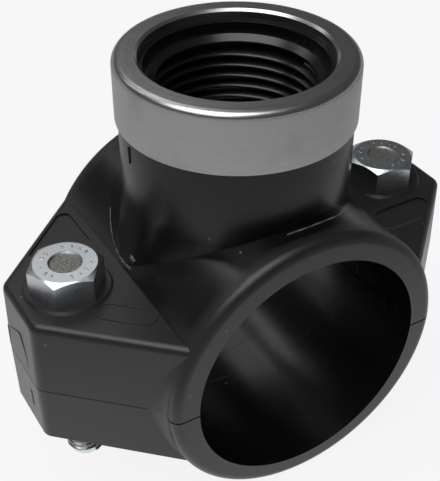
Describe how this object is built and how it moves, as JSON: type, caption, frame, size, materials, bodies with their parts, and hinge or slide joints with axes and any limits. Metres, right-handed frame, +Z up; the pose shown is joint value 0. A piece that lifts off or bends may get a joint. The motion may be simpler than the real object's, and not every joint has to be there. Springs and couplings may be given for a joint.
{
  "type": "clamp saddle for plastic pipe",
  "caption": "Black two-part clamp saddle for plastic pipe, with a threaded branch in a stainless ring and hexagon bolts through side lugs.",
  "frame": {"origin": "where the pipe axis crosses the branch axis, on the parting plane of the two halves", "axes": "+Z up the branch, +Y along the pipe, X through both bolts"},
  "size_m": [0.097, 0.058, 0.0855],
  "materials": {
    "moulded_plastic": "satin black moulding with fine scuffs",
    "stainless_ring": "drawn stainless steel, brushed round the skirt",
    "seal_rubber": "matt black rubber",
    "zinc_plated_steel": "bright zinc plate, dulled in the dished head"
  },
  "bodies": {
    "upper": {"upper_saddle": "moulded_plastic", "reinforcing_ring": "stainless_ring", "branch_seal": "seal_rubber"},
    "lower": {"lower_saddle": "moulded_plastic", "nut_left": "zinc_plated_steel", "nut_right": "zinc_plated_steel"},
    "left_bolt": {"bolt_left": "zinc_plated_steel"},
    "right_bolt": {"bolt_right": "zinc_plated_steel"}
  },
  "joints": [
    {"name": "bolt_left_turn", "type": "hinge", "parent": "upper", "child": "left_bolt", "pos_m": [-0.0375, 0, 0.0165], "axis": [0, 0, 1], "range_deg": [0, 6120]},
    {"name": "bolt_right_turn", "type": "hinge", "parent": "upper", "child": "right_bolt", "pos_m": [0.0375, 0, 0.0165], "axis": [0, 0, 1], "range_deg": [0, 6120]},
    {"name": "lower_half_slide", "type": "slide", "parent": "upper", "child": "lower", "axis": [0, 0, -1], "range_m": [0, 0.02125]}
  ],
  "couplings": [
    {"joint": "bolt_left_turn", "follows": "lower_half_slide", "rad_per_m": 5026.5},
    {"joint": "bolt_right_turn", "follows": "lower_half_slide", "rad_per_m": 5026.5}
  ]
}
